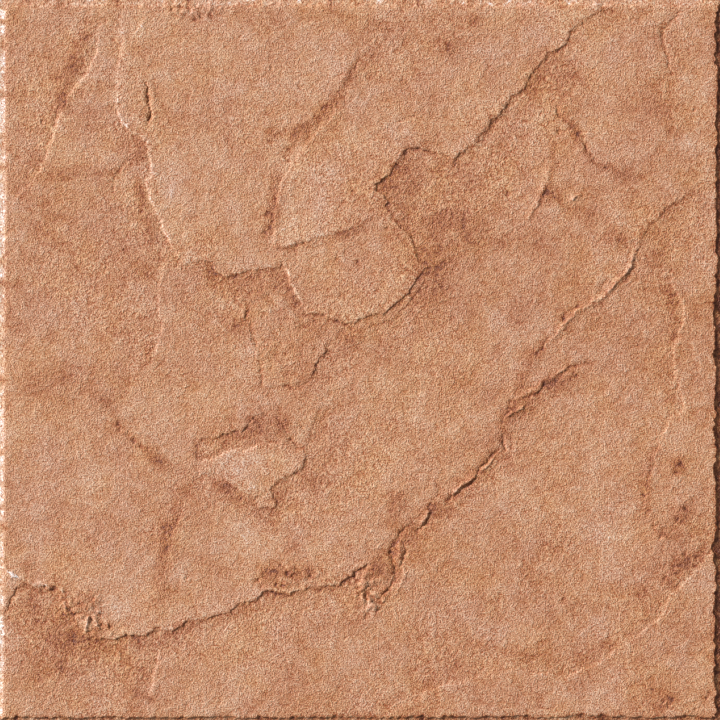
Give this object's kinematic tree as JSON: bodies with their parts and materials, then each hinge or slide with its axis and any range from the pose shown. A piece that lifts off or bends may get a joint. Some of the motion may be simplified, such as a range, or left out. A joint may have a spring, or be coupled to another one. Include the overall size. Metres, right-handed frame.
{
  "type": "porcelain floor tile",
  "caption": "Square rustic floor tile of terracotta-toned porcelain stoneware, with a slate-cleft face, broken edges and a keyed back for laying in adhesive.",
  "frame": {"origin": "middle of the back, on the plane of the keying ribs that the tile lies on", "axes": "+Z out of the cleft face, +Y towards the edge that is at the top of the picture, +X towards its right edge"},
  "size_m": [0.33, 0.33, 0.0086],
  "materials": {
    "fired_stoneware": "matt sandy terracotta-rose porcelain stoneware, paler on the high cleft layers and browner in the low ones"
  },
  "bodies": {
    "root": {"tile": "fired_stoneware"}
  },
  "joints": []
}
